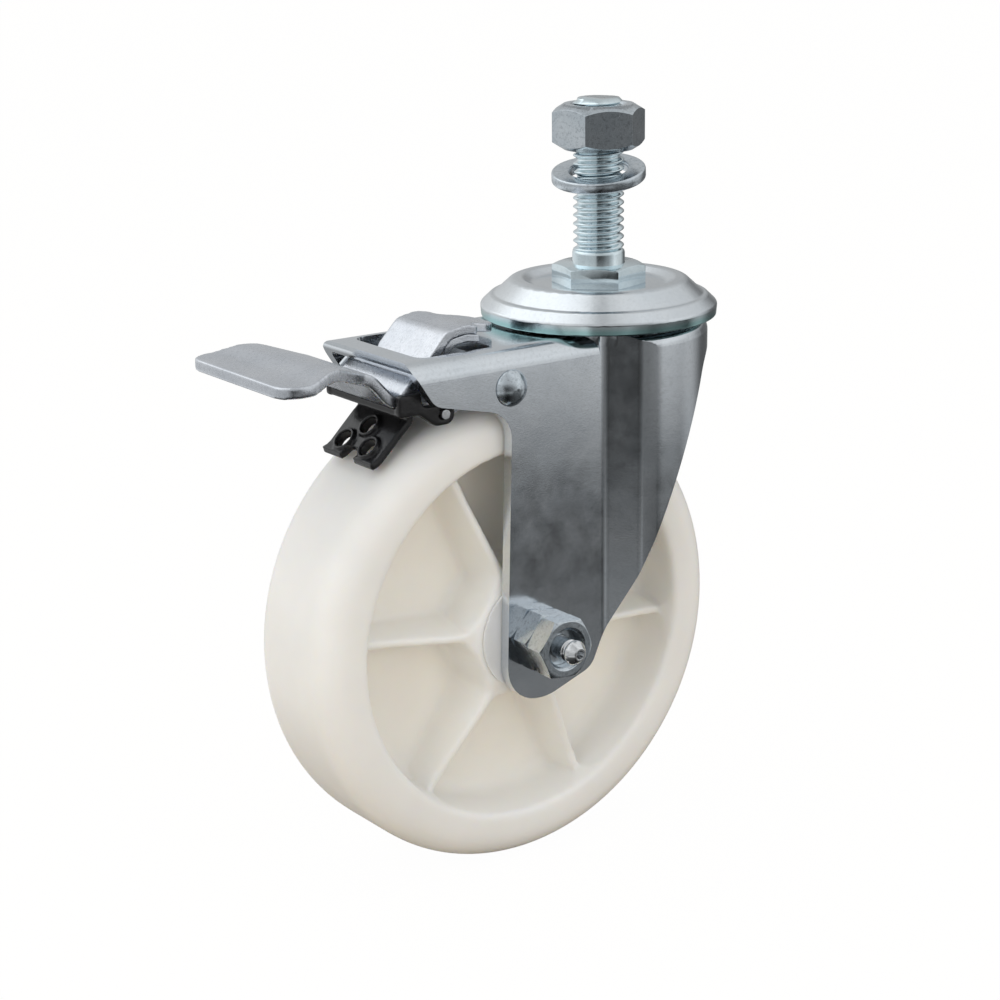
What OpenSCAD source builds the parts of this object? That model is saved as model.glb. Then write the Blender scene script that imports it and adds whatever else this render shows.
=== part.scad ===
// Threaded stem castor: a nylon wheel in a pressed swivel fork with a foot brake.
// The origin is on the swivel axis, at the seat on top of the stem's hexagon, and +Z runs up the stem.
// The wheel and the pedal trail towards -X, and the nuts of the axle are on the -Y side.

/* [Stem] */
// Length of the stem above its seat
stem_len = 34.9; // [30:0.1:45]
// Crest diameter of the stem's thread
thread_d = 10.84; // [10:0.02:11]
// Diameter of the plain register above the seat
register_d = 11.24; // [11.2:0.02:11.6]
// Length of the plain register
register_len = 3.6; // [2:0.1:6]
// Width across the flats of the stem's hexagon and its nut
hex_af = 17.46; // [16.5:0.02:19]
// Height of the stem's hexagon
hex_h = 4.3; // [3.5:0.1:6]
// Height of the stem nut
nut_h = 9.5; // [7:0.1:11]
// Length of thread that stands above the stem nut
nut_tip_gap = 1.2; // [0.5:0.1:3]
// Height of the lock washer's middle above the seat
washer_z = 18.9; // [18.5:0.1:20]
// Outer diameter of the lock washer
washer_od = 20.0; // [18:0.1:22]
// Thickness of the lock washer
washer_t = 2.5; // [2:0.1:3.2]
// Width of the lock washer's slit
washer_slit = 1.6; // [1:0.1:3]
// Angle of the lock washer's slit about the stem
washer_slit_angle = 250; // [0:5:355]
// Clearance of the lock washer's bore round the thread
washer_play = 0.8; // [0.7:0.05:1.2]
// Angle at which the loose lock washer hangs on the thread
washer_tilt = 11.4; // [0:0.2:12]

/* [Swivel head] */
// Diameter of the kingpin
kingpin_d = 10.0; // [9:0.1:10.5]
// Diameter of the kingpin's peened head
kingpin_head_d = 15.0; // [13:0.1:17]
// Height of the kingpin's peened head
kingpin_head_h = 2.8; // [2:0.1:3.5]
// Sheet thickness of the cap
cap_sheet = 2.0; // [1.8:0.1:2.1]
// Diameter of the cap's rim
cap_d = 50.8; // [50.4:0.1:54]
// Height of the cap's dome above its floor
cap_dome_h = 1.3; // [0.8:0.1:1.6]
// Diameter of an upper ball
upper_ball_d = 4.76; // [4.6:0.02:4.8]
// Pitch radius of the upper balls
upper_pitch_r = 17.0; // [16.8:0.1:17.2]
// Diameter of a lower ball
lower_ball_d = 3.96; // [3.8:0.02:4]
// Pitch radius of the lower balls
lower_pitch_r = 10.6; // [10.4:0.1:10.7]
// Outer diameter of the lower race
race_d = 28.0; // [26.5:0.1:28.6]
// Thickness of the lower race
race_t = 2.2; // [2:0.1:3]

/* [Fork] */
// Sheet thickness of the fork
fork_sheet = 2.5; // [2.2:0.1:2.7]
// Gap between the wheel's hub and each leg
hub_gap = 0.7; // [0.6:0.1:1.4]
// Depth of the fork's top plate below the seat
plate_drop = 11.3; // [11.2:0.1:12]
// Distance of the fork's open end from the swivel axis
fork_reach = 59.6; // [58.6:0.2:62]
// Radius of the round shroud under the cap
shroud_r = 23.4; // [23.2:0.1:24.2]
// Depth of the shroud's rear edge below the seat
skirt_drop = 17.5; // [16:0.1:19]
// Outer radius of the folds along the top plate
fold_r = 4.0; // [3.2:0.1:5]

/* [Axle] */
// Distance of the axle behind the swivel axis
trail = 29.6; // [28.5:0.1:31]
// Depth of the axle below the seat
axle_drop = 73.5; // [73.3:0.1:78]
// Diameter of the axle
axle_d = 8.0; // [7:0.1:8.2]
// Width across the flats of the axle's head and nuts
axle_af = 12.0; // [11.5:0.1:13]
// Height of each axle nut
axle_nut_h = 5.0; // [4:0.1:6]
// Height of the axle's head
axle_head_h = 5.5; // [4:0.1:6.5]
// How deep the axle's end lies inside the outer nut
axle_sink = 2.6; // [1:0.1:3]
// Outer diameter of the tube between the legs
bushing_d = 12.7; // [12:0.1:13]
// How far the grease fitting stands out of the outer nut
fitting_reach = 4.4; // [3.6:0.1:6]

/* [Wheel] */
// Diameter of the wheel
wheel_d = 101.6; // [99:0.1:101.8]
// Width of the wheel
wheel_w = 28.0; // [26:0.1:28.2]
// Radius of the tread's edges
tread_edge_r = 6.5; // [4:0.1:8]
// Diameter of the recess in each side of the wheel
recess_d = 80.6; // [76:0.1:84]
// Thickness of the web between the recesses
web_t = 4.0; // [3:0.1:6]
// Diameter of the hub
hub_d = 26.0; // [24:0.1:30]
// Thickness of a rib
rib_t = 3.0; // [2.4:0.1:4]
// Number of ribs in each recess
rib_count = 6; // [5:1:8]
// Depth of a rib's edge below the wheel's side
rib_drop = 1.0; // [0.5:0.1:3]
// Diameter of a bearing roller
roller_d = 3.2; // [3:0.05:3.4]
// Number of bearing rollers
roller_count = 12; // [8:1:12]

/* [Brake] */
// Distance of the brake rivet behind the swivel axis
rivet_back = 35.9; // [35:0.1:37]
// Depth of the brake rivet below the seat
rivet_drop = 19.1; // [18.8:0.1:19.4]
// Diameter of the brake rivet
rivet_d = 4.8; // [4:0.1:5.2]
// Sheet thickness of the pedal
pedal_sheet = 2.4; // [2:0.1:2.6]
// Distance of the pedal's free end from the swivel axis
pedal_reach = 89.7; // [86:0.1:94]
// Width of the pedal's tread plate
pedal_w = 38.0; // [34:0.5:42]
// Width over the pedal's arm
arm_w = 24.0; // [23.8:0.1:24.4]
// Sheet thickness of the brake shoe
shoe_sheet = 1.5; // [1.2:0.1:1.7]
// Width of the brake shoe's plate
shoe_w = 18.4; // [17.6:0.1:18.8]
// Diameter of the pin in the shoe
pin_d = 2.1; // [1.8:0.1:2.4]
// Sheet thickness of the lock tongue
tongue_t = 1.9; // [1.6:0.1:2.1]
// Width of the lock tongue
tongue_w = 18.6; // [16:0.1:18.8]
// Thickness of the leaf under the lock tongue
leaf_t = 1.6; // [1.2:0.1:1.7]

/* [Hidden] */
$fn = 96;

// Small overlap that lets cuts pass through faces
cut = 0.5;
// Clearance of a shaft in its hole
shaft_play = 0.05;
// Clearance of a ball in its groove
ball_play = 0.07;
// Gap between neighbours in a ring of balls
ball_gap = 0.2;
// Flat facets on each rounded corner of an outline
arc_steps = 8;

zinc = [0.74, 0.77, 0.80];
nylon = [0.94, 0.93, 0.90];
black = [0.08, 0.08, 0.09];
steel = [0.62, 0.63, 0.64];

// Turns of the hexagons about their axes
hex_turn = 16.3;
nut_turn = 35.7;
inner_nut_turn = -9;
outer_nut_turn = -5;

// Levels of the swivel head, measured from the seat
cap_z = -hex_h;
cap_under_z = cap_z - cap_sheet;
upper_ball_z = cap_under_z - 1.45;
upper_groove_r = upper_ball_d / 2 + ball_play;
plate_z = -plate_drop;
crown_z = upper_ball_z - 1.65;
crown_under_z = crown_z - fork_sheet;
centre_z = crown_z - 2.8;
centre_under_z = centre_z - fork_sheet;
lower_groove_r = lower_ball_d / 2 + ball_play;
lower_ball_z = centre_under_z - 1.3;
race_z = lower_ball_z - 1.2;
race_under_z = race_z - race_t;
cap_r = cap_d / 2;
rim_z = plate_z + 0.4;

// Places of the axle, the rivet and the shoe's pin
axle_x = -trail;
axle_z = -axle_drop;
rivet_x = -rivet_back;
rivet_z = -rivet_drop;
pin_back = 14.1;
pin_sink = 3.9;
pin_x = rivet_x - pin_back;
pin_z = rivet_z - pin_sink;

wheel_r = wheel_d / 2;
hub_y = wheel_w / 2;
leg_in_y = hub_y + hub_gap;
leg_y = leg_in_y + fork_sheet;

// A length past everything, for cuts that go right through
beyond = wheel_d;

// Outlines with rounded corners

function unit(v) = v / norm(v);
function xy(p) = [p[0], p[1]];
function right_of(p, q) = let (d = unit(xy(q) - xy(p))) [d[1], -d[0]];

// Arc that replaces corner q of an outline between its neighbours p and s, with q[2] its radius
function corner(p, q, s) =
    let (b = xy(q), r = q[2], u = unit(xy(p) - b), v = unit(xy(s) - b), half = acos(u * v) / 2)
    r == 0 || half > 89.5 ? [b] :
    let (c = b + unit(u + v) * r / sin(half), t0 = b + u * r / tan(half), t1 = b + v * r / tan(half),
         a0 = atan2(t0[1] - c[1], t0[0] - c[0]), a1 = atan2(t1[1] - c[1], t1[0] - c[0]),
         turn = (a1 - a0 + 540) % 360 - 180)
    [for (i = [0:arc_steps]) c + r * [cos(a0 + turn * i / arc_steps), sin(a0 + turn * i / arc_steps)]];

// Closed outline and open line of corners [x, y, radius]
function rounded(pts) = let (n = len(pts))
    [for (i = [0:n - 1]) each corner(pts[(i + n - 1) % n], pts[i], pts[(i + 1) % n])];
function open_line(pts) = let (n = len(pts))
    [xy(pts[0]), for (i = [1:1:n - 2]) each corner(pts[i - 1], pts[i], pts[i + 1]), xy(pts[n - 1])];

// Line of corners moved by s to its right, with the radii that keep its arcs concentric
function moved(pts, s) = let (n = len(pts))
    [for (i = [0:n - 1])
        let (a = i > 0 ? right_of(pts[i - 1], pts[i]) : right_of(pts[0], pts[1]),
             b = i < n - 1 ? right_of(pts[i], pts[i + 1]) : a,
             inside = a * [-b[1], b[0]] < 0 ? 1 : -1,
             p = xy(pts[i]) + s * (a + b) / (1 + a * b))
        [p[0], p[1], pts[i][2] == 0 ? 0 : max(pts[i][2] + inside * s, 0.05)]];

// Section of a bent sheet: a line of corners and the same line moved by the thickness t
function bent(pts, t) =
    let (far = open_line(moved(pts, t)))
    concat(open_line(pts), [for (i = [len(far) - 1:-1:0]) far[i]]);

// Outline in X and Z, extruded along Y between y0 and y1
module across(pts, y0, y1) {
    translate([0, y1, 0]) rotate([90, 0, 0]) linear_extrude(y1 - y0) polygon(pts);
}

// Cylinder along Y between y0 and y1
module rod_y(r, x, z, y0, y1) {
    translate([x, y1, z]) rotate([90, 0, 0]) cylinder(h = y1 - y0, r = r);
}

// Section in radius and height above the X axis, turned about a line along Y through x and z
module turned_y(x, z) {
    translate([x, 0, z]) rotate([-90, 0, 0]) rotate_extrude() children();
}

// Hexagonal prism with chamfered ends, standing on the XY plane
module hexagon(af, h, turn, chamfer_low, chamfer_high) {
    corner_r = af / 2 / cos(30);
    flat_r = af / 2 * 0.97;
    drop = (corner_r - flat_r) * tan(30);
    intersection() {
        rotate([0, 0, turn]) cylinder(h = h, r = corner_r, $fn = 6);
        rotate_extrude() polygon([
            [0, 0], [chamfer_low ? flat_r : corner_r + 1, 0], [corner_r + 1, chamfer_low ? drop : 0],
            [corner_r + 1, chamfer_high ? h - drop : h], [chamfer_high ? flat_r : corner_r + 1, h], [0, h]
        ]);
    }
}

// Ring of balls about the swivel axis
module ball_ring(ball_d, pitch_r, z) {
    count = floor(2 * PI * pitch_r / (ball_d + ball_gap));
    for (i = [0:count - 1])
        rotate([0, 0, 360 * i / count]) translate([pitch_r, 0, z]) sphere(d = ball_d, $fn = 32);
}

module groove(r, pitch_r, z) {
    rotate_extrude() translate([pitch_r, z]) circle(r = r);
}

// Stem

tip_chamfer = 1.1;
shank_bottom = race_under_z;

module stem_bolt() {
    thread_r = thread_d / 2;
    head_r = kingpin_head_d / 2;
    color(zinc) {
        rotate_extrude() polygon([
            [0, -hex_h], [register_d / 2, -hex_h], [register_d / 2, register_len], [thread_r, register_len],
            [thread_r, stem_len - tip_chamfer], [thread_r - tip_chamfer, stem_len], [0, stem_len]
        ]);
        translate([0, 0, -hex_h]) hexagon(hex_af, hex_h, hex_turn, false, true);
        translate([0, 0, shank_bottom]) cylinder(h = cap_z - shank_bottom, d = kingpin_d);
        rotate_extrude() polygon([
            [0, shank_bottom], [head_r, shank_bottom], [head_r, shank_bottom - kingpin_head_h * 0.3],
            [head_r * 0.85, shank_bottom - kingpin_head_h * 0.75], [head_r * 0.5, shank_bottom - kingpin_head_h],
            [0, shank_bottom - kingpin_head_h]
        ]);
    }
}

// Countersink at each mouth of the stem nut
nut_mouth = 0.6;

module stem_nut() {
    bottom = stem_len - nut_tip_gap - nut_h;
    mouth_r = thread_d / 2 + nut_mouth;
    color(zinc) difference() {
        translate([0, 0, bottom]) hexagon(hex_af, nut_h, nut_turn, true, true);
        translate([0, 0, bottom - cut]) cylinder(h = nut_h + 2 * cut, r = thread_d / 2 + shaft_play);
        translate([0, 0, bottom + nut_h - nut_mouth]) cylinder(h = nut_mouth + 0.01, r1 = thread_d / 2, r2 = mouth_r);
        translate([0, 0, bottom - 0.01]) cylinder(h = nut_mouth + 0.01, r1 = mouth_r, r2 = thread_d / 2);
    }
}

// Loose washer that hangs with its near side low
module lock_washer() {
    bore_r = thread_d / 2 + washer_play;
    lean = -51;
    color(zinc) translate([0, 0, washer_z]) rotate(a = washer_tilt, v = [cos(lean), sin(lean), 0])
        translate([0, 0, -washer_t / 2]) difference() {
            cylinder(h = washer_t, d = washer_od);
            translate([0, 0, -cut]) cylinder(h = washer_t + 2 * cut, r = bore_r);
            rotate([0, 0, washer_slit_angle]) translate([bore_r - 1, 0, washer_t / 2]) rotate([35, 0, 0])
                translate([0, -washer_slit / 2, -washer_t * 2]) cube([washer_od, washer_slit, washer_t * 4]);
        }
}

// Swivel head

// Cap in radius and height: floor, dome over the balls, groove and flared rim
function cap_section() =
    let (dome_z = cap_z + cap_dome_h, dome_r = upper_pitch_r + 0.3)
    rounded([
        [kingpin_d / 2 + shaft_play, cap_z, 0],
        [upper_pitch_r - 2.6, cap_z, 1.5],
        [dome_r - 1.0, dome_z, 1.5],
        [dome_r + 1.4, dome_z, 2.5],
        [cap_r - 3.0, rim_z + 4.5, 0.8],
        [cap_r - 2.2, rim_z + 4.5, 1.2],
        [cap_r, rim_z + 2.4, 0.9],
        [cap_r - 0.2, rim_z, 0.3],
        [cap_r - 1.7, rim_z, 0.3],
        [cap_r - 1.8, rim_z + 1.2, 0.5],
        [cap_r - 4.9, rim_z + 3.7, 1.0],
        [upper_pitch_r + 2.6, cap_under_z + 0.3, 0],
        [upper_pitch_r - 2.6, cap_under_z, 0.5],
        [kingpin_d / 2 + shaft_play, cap_under_z, 0]
    ]);

module swivel_cap() {
    color(zinc) difference() {
        rotate_extrude() polygon(cap_section());
        groove(upper_groove_r, upper_pitch_r, upper_ball_z);
    }
}

module upper_balls() {
    color(steel) ball_ring(upper_ball_d, upper_pitch_r, upper_ball_z);
}

module lower_balls() {
    color(steel) ball_ring(lower_ball_d, lower_pitch_r, lower_ball_z);
}

module lower_race() {
    color(steel) difference() {
        translate([0, 0, race_under_z]) cylinder(h = race_t, d = race_d);
        translate([0, 0, race_under_z - cut]) cylinder(h = race_t + 2 * cut, r = kingpin_d / 2 + shaft_play);
        groove(lower_groove_r, lower_pitch_r, lower_ball_z);
    }
}

// Fork

// Side of a leg in X and Z, from the open end down round the axle and up to the skirt behind
function fork_side() =
    let (above = 5, end_x = -fork_reach, back_x = shroud_r + 5)
    rounded([
        [end_x, above, 0],
        [end_x, plate_z - 1.4, 2.5],
        [rivet_x - 18.6, rivet_z - 1.2, 4.5],
        [rivet_x + 0.1, rivet_z - 5.5, 6.5],
        [axle_x - 8.1, axle_z - 12.7, 8],
        [axle_x + 2.1, axle_z - 13.9, 12],
        [axle_x + 14.2, axle_z - 9.7, 5],
        [14.5, -skirt_drop, 8],
        [back_x, -skirt_drop, 0],
        [back_x, above, 0]
    ]);

// One side of the plan, where the flat leg swings out to the round shroud
function swing_side(inset) =
    moved([[-13.2, leg_y, 0], [-12.0, leg_y, 3], [-6.2, shroud_r - 1.3, 4], [2.0, shroud_r + 1.5, 0]], inset);

module swing_plan(inset) {
    side = open_line(swing_side(inset));
    far_x = shroud_r + 2;
    intersection() {
        circle(r = shroud_r - inset);
        polygon(concat(
            side, [[far_x, shroud_r + 2], [far_x, -shroud_r - 2]],
            [for (i = [len(side) - 1:-1:0]) [side[i][0], -side[i][1]]]
        ));
    }
}

// Solid inside the sheet's outer face, or inside its inner face when inset is the sheet thickness
module fork_envelope(inset) {
    bottom = axle_z - 30;
    top = plate_z - inset;
    half = leg_y - inset;
    fold = fold_r - inset;
    shroud_fold = 3.0 - inset;
    outer_r = shroud_r - inset;
    translate([-fork_reach - 10, 0, 0]) rotate([90, 0, 90]) linear_extrude(fork_reach - 2) union() {
        translate([-half, bottom]) square([2 * half, top - fold - bottom]);
        translate([-half + fold, bottom]) square([2 * (half - fold), top - bottom]);
        for (side = [-1, 1]) translate([side * (half - fold), top - fold]) circle(r = fold);
    }
    intersection() {
        rotate_extrude() union() {
            translate([0, bottom]) square([outer_r, top - shroud_fold - bottom]);
            translate([0, bottom]) square([outer_r - shroud_fold, top - bottom]);
            translate([outer_r - shroud_fold, top - shroud_fold]) circle(r = shroud_fold);
        }
        translate([0, 0, bottom]) linear_extrude(-bottom) swing_plan(inset);
    }
}

crown_foot_r = shroud_r - 2.0;
crown_in_r = upper_pitch_r - 3.2;

// Pressed crown in radius and height, from the kingpin's hole over the ball groove to the top plate
function crown_section() = [
    [kingpin_d / 2 + 3, centre_z], [crown_in_r - 1.8, centre_z], [crown_in_r, crown_z],
    [upper_pitch_r + 3.0, crown_z], [crown_foot_r, plate_z], [crown_foot_r, plate_z - fork_sheet],
    [crown_foot_r - 0.8, plate_z - fork_sheet], [crown_foot_r - 2.0, crown_under_z],
    [crown_in_r + 0.6, crown_under_z], [crown_in_r - 0.6, centre_under_z], [kingpin_d / 2 + 3, centre_under_z]
];

// Hollow under the crown, open below
function crown_hollow() = [
    [crown_foot_r - 0.8, plate_z - fork_sheet - 0.1], [crown_foot_r - 0.8, plate_z - fork_sheet],
    [crown_foot_r - 2.0, crown_under_z], [crown_in_r + 0.6, crown_under_z],
    [crown_in_r - 0.6, plate_z - fork_sheet - 0.1]
];

// Opening in the top plate that the lock tongue comes up through
function tongue_opening() =
    let (half = arm_y + 0.4, front_x = -fork_reach + 4.8, back_x = rivet_x - 1.1)
    rounded([[front_x, -half, 2.5], [back_x, -half, 1.5], [back_x, half, 1.5], [front_x, half, 2.5]]);

module fork() {
    color(zinc) difference() {
        union() {
            intersection() {
                difference() {
                    fork_envelope(0);
                    fork_envelope(fork_sheet);
                    rotate_extrude() polygon(crown_hollow());
                    translate([0, 0, plate_z - 5]) cylinder(h = 10, r = crown_in_r - 1.9);
                }
                across(fork_side(), -beyond, beyond);
            }
            rotate_extrude() polygon(crown_section());
        }
        groove(upper_groove_r, upper_pitch_r, upper_ball_z);
        groove(lower_groove_r, lower_pitch_r, lower_ball_z);
        translate([0, 0, plate_z - 5]) linear_extrude(10) polygon(tongue_opening());
        rod_y(axle_d / 2 + 2 * shaft_play, axle_x, axle_z, -beyond, beyond);
        rod_y(rivet_d / 2 + shaft_play, rivet_x, rivet_z, -beyond, beyond);
        translate([rivet_x - 18.8, 0, rivet_z + 3.4]) rotate([0, -40, 0])
            translate([-2.2, leg_in_y - cut, -0.5]) cube([4.4, fork_sheet + 2 * cut, 1]);
    }
}

// Axle

nut_inner_y = -leg_y;
nut_outer_y = nut_inner_y - axle_nut_h;
nut_face_y = nut_outer_y - axle_nut_h;
axle_end_y = nut_face_y + axle_sink;
grease_r = 1.5;
fitting_socket_r = 2.5;
fitting_depth = 4;

module axle() {
    color(zinc) difference() {
        union() {
            rod_y(axle_d / 2, axle_x, axle_z, axle_end_y, leg_y);
            translate([axle_x, leg_y, axle_z]) rotate([-90, 0, 0]) hexagon(axle_af, axle_head_h, 0, false, true);
        }
        rod_y(grease_r, axle_x, axle_z, axle_end_y - cut, 0);
        rod_y(fitting_socket_r, axle_x, axle_z, axle_end_y - cut, axle_end_y + fitting_depth);
        translate([axle_x, 0, axle_z]) rotate([180, 0, 0]) cylinder(h = axle_d, r = grease_r / 1.5, $fn = 24);
    }
}

// Countersink at the outer mouth of each axle nut
axle_mouth = 0.7;

module axle_nut(y, turn, chamfer_inner) {
    color(zinc) difference() {
        translate([axle_x, y, axle_z]) rotate([90, 0, 0]) hexagon(axle_af, axle_nut_h, turn, chamfer_inner, true);
        rod_y(axle_d / 2 + shaft_play, axle_x, axle_z, y - axle_nut_h - cut, y + cut);
        translate([axle_x, y - axle_nut_h + axle_mouth, axle_z]) rotate([90, 0, 0])
            cylinder(h = axle_mouth + 0.01, r1 = axle_d / 2, r2 = axle_d / 2 + axle_mouth);
    }
}

module axle_nut_inner() axle_nut(nut_inner_y, inner_nut_turn, false);
module axle_nut_outer() axle_nut(nut_outer_y, outer_nut_turn, true);

// Grease fitting in radius and distance from its socket's bottom: shank, barrel, waist, head and cone
module grease_fitting() {
    shank_r = fitting_socket_r - shaft_play;
    barrel_r = 2.4;
    waist_r = 1.9;
    head_r = 2.6;
    tip_r = 1.4;
    ball_r = 0.9;
    socket_y = axle_end_y + fitting_depth;
    length = fitting_depth + axle_sink + fitting_reach;
    color(steel) translate([0, socket_y, 0]) mirror([0, 1, 0]) turned_y(axle_x, axle_z) difference() {
        polygon([
            [0, 0.2], [shank_r, 0.2], [shank_r, fitting_depth], [barrel_r, fitting_depth + 0.1],
            [barrel_r, length - 3.5], [waist_r, length - 3.2], [waist_r, length - 2.7], [head_r, length - 2.3],
            [head_r, length - 1.6], [tip_r, length], [0, length]
        ]);
        translate([0, length - 3]) square([ball_r, 3 + cut]);
    }
}

module spanner_bushing() {
    color(steel) difference() {
        rod_y(bushing_d / 2, axle_x, axle_z, -leg_in_y, leg_in_y);
        rod_y(axle_d / 2 + shaft_play, axle_x, axle_z, -leg_in_y - cut, leg_in_y + cut);
    }
}

// Rivet through both legs and the pedal's lugs, with a domed head on each side
module brake_rivet() {
    head_r = rivet_d / 2 + 1.5;
    head_h = 2.4;
    dome_r = (head_r * head_r + head_h * head_h) / (2 * head_h);
    color(zinc) {
        rod_y(rivet_d / 2, rivet_x, rivet_z, -leg_y, leg_y);
        for (side = [-1, 1]) intersection() {
            translate([rivet_x, side * (leg_y + head_h - dome_r), rivet_z]) rotate([90, 0, 0]) sphere(r = dome_r);
            rod_y(head_r + 1, rivet_x, rivet_z, side > 0 ? leg_y : -leg_y - 5, side > 0 ? leg_y + 5 : -leg_y);
        }
    }
}

// Washer between the hub and a leg, with the same gap on both faces
module thrust_washer(side) {
    gap = hub_gap * 0.15;
    y0 = side > 0 ? hub_y + gap : -leg_in_y + gap;
    y1 = side > 0 ? leg_in_y - gap : -hub_y - gap;
    color(steel) difference() {
        rod_y(hub_d / 2 - 1, axle_x, axle_z, y0, y1);
        rod_y(bushing_d / 2 + shaft_play, axle_x, axle_z, y0 - cut, y1 + cut);
    }
}

module thrust_washer_near() thrust_washer(-1);
module thrust_washer_far() thrust_washer(1);

// Wheel

bearing_play = 0.05;
hub_bore_r = bushing_d / 2 + 2 * bearing_play + roller_d;
roller_pitch_r = bushing_d / 2 + bearing_play + roller_d / 2;
recess_r = recess_d / 2;
hub_r = hub_d / 2;

// Recess in radius and distance from the middle plane, with drafted walls and soft corners
function recess_section() =
    let (draft = 1.6, out = hub_y + 2)
    rounded([
        [hub_r, out, 0], [hub_r + draft / 2, web_t / 2, 2.5], [recess_r - draft, web_t / 2, 3.5],
        [recess_r, out, 0]
    ]);

// Rib in the wheel's plane, along X from the hub to the rim, with flared roots
function rib_plan() =
    let (h = rib_t / 2, root = hub_r - 1.5, tip = recess_r + 0.8, flare = 3.2)
    rounded([
        [root, -h - flare, 0], [root + 1.6, -h - flare + 0.6, 0], [hub_r + 3.4, -h, 5],
        [recess_r - 4.2, -h, 5], [tip - 0.6, -h - flare, 0], [tip + 1.5, -h - flare, 0],
        [tip + 1.5, h + flare, 0], [tip - 0.6, h + flare, 0], [recess_r - 4.2, h, 5],
        [hub_r + 3.4, h, 5], [root + 1.6, h + flare - 0.6, 0], [root, h + flare, 0]
    ]);

module wheel() {
    edge = tread_edge_r;
    rib_y = hub_y - rib_drop;
    color(nylon) difference() {
        union() {
            turned_y(axle_x, axle_z) difference() {
                union() {
                    translate([0, -hub_y]) square([wheel_r - edge, wheel_w]);
                    translate([0, -hub_y + edge]) square([wheel_r, wheel_w - 2 * edge]);
                    for (side = [-1, 1]) translate([wheel_r - edge, side * (hub_y - edge)]) circle(r = edge);
                }
                polygon(recess_section());
                mirror([0, 1]) polygon(recess_section());
            }
            translate([axle_x, 0, axle_z]) intersection() {
                for (i = [0:rib_count - 1]) rotate([0, 360 * i / rib_count + 6, 0])
                    translate([0, rib_y, 0]) rotate([90, 0, 0]) linear_extrude(2 * rib_y) polygon(rib_plan());
                rod_y(recess_r + 1.5, 0, 0, -hub_y, hub_y);
            }
        }
        rod_y(hub_bore_r, axle_x, axle_z, -hub_y - cut, hub_y + cut);
    }
}

cage_end = 1.2;
cage_half = hub_y - 0.6;

module bearing_rollers() {
    color(steel) for (i = [0:roller_count - 1]) rotate_about_axle(360 * i / roller_count)
        rod_y(roller_d / 2, roller_pitch_r, 0, -cage_half + cage_end + 0.15, cage_half - cage_end - 0.15);
}

// Turns what follows about the axle, with its own origin on the axle
module rotate_about_axle(angle) {
    translate([axle_x, 0, axle_z]) rotate([0, angle, 0]) children();
}

// Cage: a thin ring on the rollers' pitch circle, with one window for each roller
module bearing_cage() {
    half_t = 0.7;
    window_half = cage_half - cage_end;
    color(black) difference() {
        rod_y(roller_pitch_r + half_t, axle_x, axle_z, -cage_half, cage_half);
        rod_y(roller_pitch_r - half_t, axle_x, axle_z, -cage_half - cut, cage_half + cut);
        for (i = [0:roller_count - 1]) rotate_about_axle(360 * i / roller_count)
            rod_y(roller_d / 2 + 0.08, roller_pitch_r, 0, -window_half, window_half);
    }
}

// Pedal

arm_y = arm_w / 2;
lug_in_y = arm_y - pedal_sheet;
crest_back = 41.1;
crest_rise = 9.7;
knee_back = 29.1;
knee_rise = 5.7;
valley_back = 24.0;
valley_rise = 0.1;
riser_back = 20.2;
riser_rise = 4.2;
valley_x = rivet_x - valley_back;
valley_z = rivet_z + valley_rise;

// Top face of the pedal in X and Z: free end, arched neck, steep drop to the valley, and riser
function pedal_line() = [
    [-pedal_reach, rivet_z + crest_rise - 1.9, 0], [rivet_x - crest_back - 6.6, rivet_z + crest_rise - 1.8, 6],
    [rivet_x - crest_back, rivet_z + crest_rise, 10], [rivet_x - knee_back, rivet_z + knee_rise, 6],
    [valley_x, valley_z, 1.5], [rivet_x - riser_back, rivet_z + riser_rise, 0]
];

// Plan of the pedal: a wide tread plate with rounded corners, and shoulders in to the arm
function pedal_plan() =
    let (half = pedal_w / 2, shoulder_x = rivet_x - crest_back - 6, neck_x = rivet_x - knee_back - 2.5, end_x = rivet_x)
    rounded([
        [-pedal_reach, -half, 4.5], [shoulder_x, -half, 6], [neck_x, -arm_y, 4], [end_x, -arm_y, 0],
        [end_x, arm_y, 0], [neck_x, arm_y, 4], [shoulder_x, half, 6], [-pedal_reach, half, 4.5]
    ]);

lug_r = 3.7;

// Side wall of the arm in X and Z: from the riser over the pin's eye to the eye round the rivet
function lug_side() =
    let (riser_x = rivet_x - riser_back, top_z = rivet_z + riser_rise - 0.3, under_z = rivet_z - 1.5)
    rounded([
        [valley_x + 0.4, under_z + 0.9, 0], [riser_x + 0.5, top_z - 0.6, 0], [riser_x + 5.6, top_z, 1.5],
        [rivet_x - 9, rivet_z + lug_r - 0.2, 3], [rivet_x, rivet_z + lug_r, 0], [rivet_x, rivet_z - lug_r, 0],
        [rivet_x - 7.5, rivet_z - lug_r + 1.2, 3], [pin_x + 2.2, pin_z - 2.2, 2.2], [pin_x - 1.4, pin_z - 2.2, 2.2],
        [pin_x - 2.6, under_z, 1], [valley_x + 1.4, under_z, 0]
    ]);

module pedal() {
    color(zinc) difference() {
        union() {
            intersection() {
                across(bent(pedal_line(), pedal_sheet), -pedal_w, pedal_w);
                translate([0, 0, -beyond]) linear_extrude(beyond) polygon(pedal_plan());
            }
            for (side = [-1, 1]) {
                y0 = side > 0 ? lug_in_y : -arm_y;
                across(lug_side(), y0, y0 + pedal_sheet);
                rod_y(lug_r, rivet_x, rivet_z, y0, y0 + pedal_sheet);
            }
        }
        rod_y(rivet_d / 2 + shaft_play, rivet_x, rivet_z, -arm_w, arm_w);
        rod_y(pin_d / 2 + shaft_play, pin_x, pin_z, -arm_w, arm_w);
    }
}

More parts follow.
